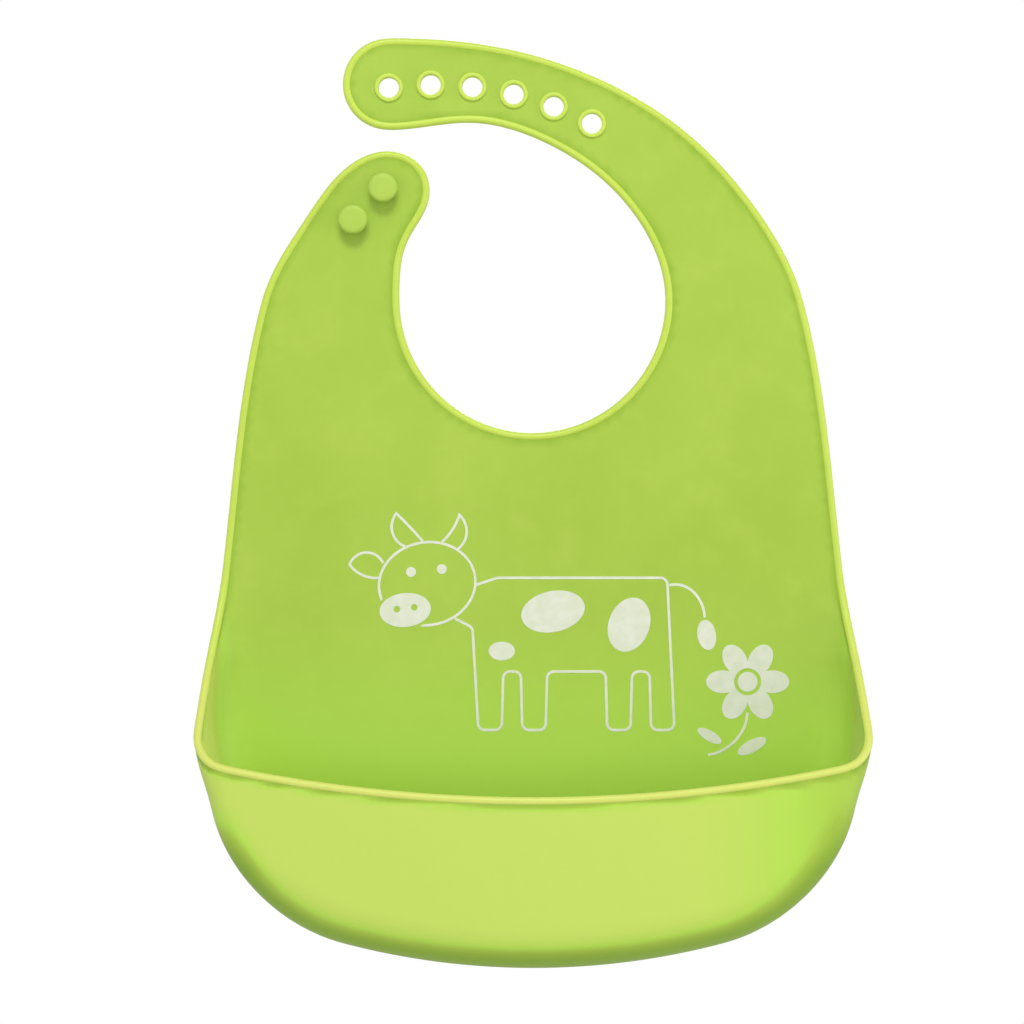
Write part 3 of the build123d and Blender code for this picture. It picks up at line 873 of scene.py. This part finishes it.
COLLAR_ROUND = 0.6           # mm
HEAD_THICKNESS = 2.4         # of a stud, mm
STEM_SHARE = 0.64            # of the head's radius


def build_collars():
    """A rounded collar round each closure hole."""
    half = COLLAR_LENGTH / 2
    outline_points = rounded(
        [(HOLE_RADIUS, -half), (COLLAR_RADIUS, -half), (COLLAR_RADIUS, half), (HOLE_RADIUS, half)],
        COLLAR_ROUND,
    )
    for i, place in enumerate(hole_places):
        name = f"hole_collar_{i + 1}"
        piece = lathe(f"visual_{name}", place, outline_points, collar_material, closed=True)
        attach(piece, "strap_end")
        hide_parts(name)


def build_studs():
    """Two mushroom studs, each with a small round at its root and a softly domed head."""
    for name in ("upper_stud", "lower_stud"):
        low, high = (np.array(corner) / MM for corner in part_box(name))
        centre = ((low[0] + high[0]) / 2, (low[2] + high[2]) / 2)
        head = (high[0] - low[0]) / 2
        root, top = high[1], low[1]
        neck = top + HEAD_THICKNESS
        stem = head * STEM_SHARE
        profile = [(stem + 0.9, root + 0.3), (stem + 0.5, root - 0.12), (stem + 0.18, root - 0.4),
                   (stem, root - 0.9), (stem, neck + 0.5), (stem + 0.15, neck + 0.15),
                   (stem + 0.5, neck)]
        profile += [(head - 0.9, neck), (head - 0.35, neck - 0.12), (head - 0.06, neck - 0.45),
                    (head, neck - 0.9), (head, top + 1.15), (head - 0.08, top + 0.8),
                    (head - 0.3, top + 0.42), (head - 0.7, top + 0.16), (head - 1.2, top + 0.05)]
        profile += [(head * share, top) for share in (0.6, 0.3, 0.0)]
        piece = lathe(f"visual_{name}", centre, profile, stud_material, closed=False)
        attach(piece, "stud_tab")
        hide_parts(name)


edge_path = build_skin()
build_bead(edge_path)
build_collars()
build_studs()

replaced = {
    "skin_pouch": ("apron_sheet", "pouch_basin", "pouch_front_wall"),
    "skin_right_shoulder": ("collar_sheet", "right_shoulder_sheet"),
    "skin_hole_strap_middle": ("strap_middle_sheet",),
    "skin_hole_strap_end": ("strap_end_sheet",),
    "skin_left_shoulder": ("left_shoulder_sheet",),
    "skin_stud_strap_end": ("stud_tab_sheet",),
    "bead_pouch": ("apron_left_bead", "apron_right_bead", "pouch_front_rim", "pouch_left_rim",
                   "pouch_right_rim"),
    "bead_waist": ("collar_neck_bead",),
    "bead_right_shoulder": ("collar_right_bead", "right_shoulder_inner_bead",
                            "right_shoulder_outer_bead"),
    "bead_hole_strap_middle": ("strap_middle_inner_bead", "strap_middle_outer_bead"),
    "bead_hole_strap_end": ("strap_end_bead",),
    "bead_left_shoulder": ("collar_left_bead", "left_shoulder_inner_bead",
                           "left_shoulder_outer_bead"),
    "bead_stud_strap_end": ("stud_tab_bead",),
}
for piece_name, nodes in replaced.items():
    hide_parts(*nodes)

for node, cad_object in frame["nodes"].items():
    if node.startswith("print"):
        cad_object.data.materials.clear()
        cad_object.data.materials.append(ink_material)


# ---------------------------------------------------------------- studio
FLOOR_DROP = 0.62            # the floor's distance below the bib, m
FLOOR_REACH = 3.0
HORIZON_GLOW = (0.25, 0.50)  # sines of the elevations between which the bright horizon fades
SKY_STRENGTH = (1.0, 0.22)   # at the horizon, and above and below it
VIEW_DISTANCE = 1.0          # from the camera to the sheet, m
VIEW_WIDTH = 0.3502          # the width of the view at the sheet
VIEW_CENTRE = (-0.007, -0.0725)
SENSOR_WIDTH = 36            # mm
LEFT_WALL_PLACE = (-0.1, -0.02, -0.15)


def build_floor():
    """A plain pale floor, well below the hanging bib."""
    z = cad_box[0][2] - FLOOR_DROP
    corners = [(-FLOOR_REACH, -FLOOR_REACH, z), (FLOOR_REACH, -FLOOR_REACH, z),
               (FLOOR_REACH, FLOOR_REACH, z), (-FLOOR_REACH, FLOOR_REACH, z)]
    mesh = bpy.data.meshes.new("floor")
    mesh.from_pydata(corners, [], [(0, 1, 2, 3)])
    floor = bpy.data.objects.new("floor", mesh)
    bpy.context.collection.objects.link(floor)
    nodes = Nodes("studio_floor")
    place = nodes.add("ShaderNodeTexCoord").outputs["Object"]
    tone = nodes.mix(nodes.noise(place, 3.0, 2.0), linear(236, 236, 234), linear(241, 241, 240))
    nodes.link(tone, nodes.shader.inputs["Base Color"])
    nodes.shader.inputs["Roughness"].default_value = 0.9
    mesh.materials.append(nodes.material)


def build_world():
    """Soft white light from all round, brightest near the horizon."""
    world = bpy.data.worlds.new("studio")
    world.use_nodes = True
    tree = world.node_tree
    place = tree.nodes.new("ShaderNodeTexCoord")
    axes = tree.nodes.new("ShaderNodeSeparateXYZ")
    height = tree.nodes.new("ShaderNodeMath")
    height.operation = "ABSOLUTE"
    fade = tree.nodes.new("ShaderNodeMapRange")
    fade.interpolation_type = "SMOOTHSTEP"
    for socket, value in zip(fade.inputs[1:5], (*HORIZON_GLOW, *SKY_STRENGTH)):
        socket.default_value = value
    background = tree.nodes["Background"]
    background.inputs[0].default_value = (1, 1, 1, 1)
    tree.links.new(place.outputs["Generated"], axes.inputs[0])
    tree.links.new(axes.outputs["Z"], height.inputs[0])
    tree.links.new(height.outputs[0], fade.inputs[0])
    tree.links.new(fade.outputs[0], background.inputs[1])
    bpy.context.scene.world = world


def area(name, place, target, size, power):
    """A rectangular soft light aimed at the target."""
    light = bpy.data.lights.new(name, "AREA")
    light.shape = "RECTANGLE"
    light.size, light.size_y = size
    light.energy = power
    light_object = bpy.data.objects.new(name, light)
    light_object.location = place
    way = Vector(target) - Vector(place)
    light_object.rotation_euler = way.to_track_quat("-Z", "Y").to_euler()
    bpy.context.collection.objects.link(light_object)


def build_camera():
    """A camera straight in front of the sheet."""
    camera_data = bpy.data.cameras.new("camera")
    camera_data.sensor_width = SENSOR_WIDTH
    camera_data.lens = SENSOR_WIDTH * VIEW_DISTANCE / VIEW_WIDTH
    camera = bpy.data.objects.new("camera", camera_data)
    camera.location = (VIEW_CENTRE[0], -VIEW_DISTANCE, VIEW_CENTRE[1])
    camera.rotation_euler = (pi / 2, 0, 0)
    bpy.context.collection.objects.link(camera)
    bpy.context.scene.camera = camera
    bpy.context.scene.view_settings.view_transform = "Standard"


middle = [(low + high) / 2 for low, high in zip(*cad_box)]
build_floor()
build_world()
area("key", (-0.05, -1.5, 1.45), middle, (0.9, 0.6), 25)
area("low_front", (-0.2, -1.7, -0.1), middle, (1.6, 1.6), 1.5)
area("right", (0.9, -0.25, -0.1), LEFT_WALL_PLACE, (0.3, 0.3), 1.4)
area("back", (0.3, 1.5, 1.1), middle, (1.0, 0.8), 14)
build_camera()
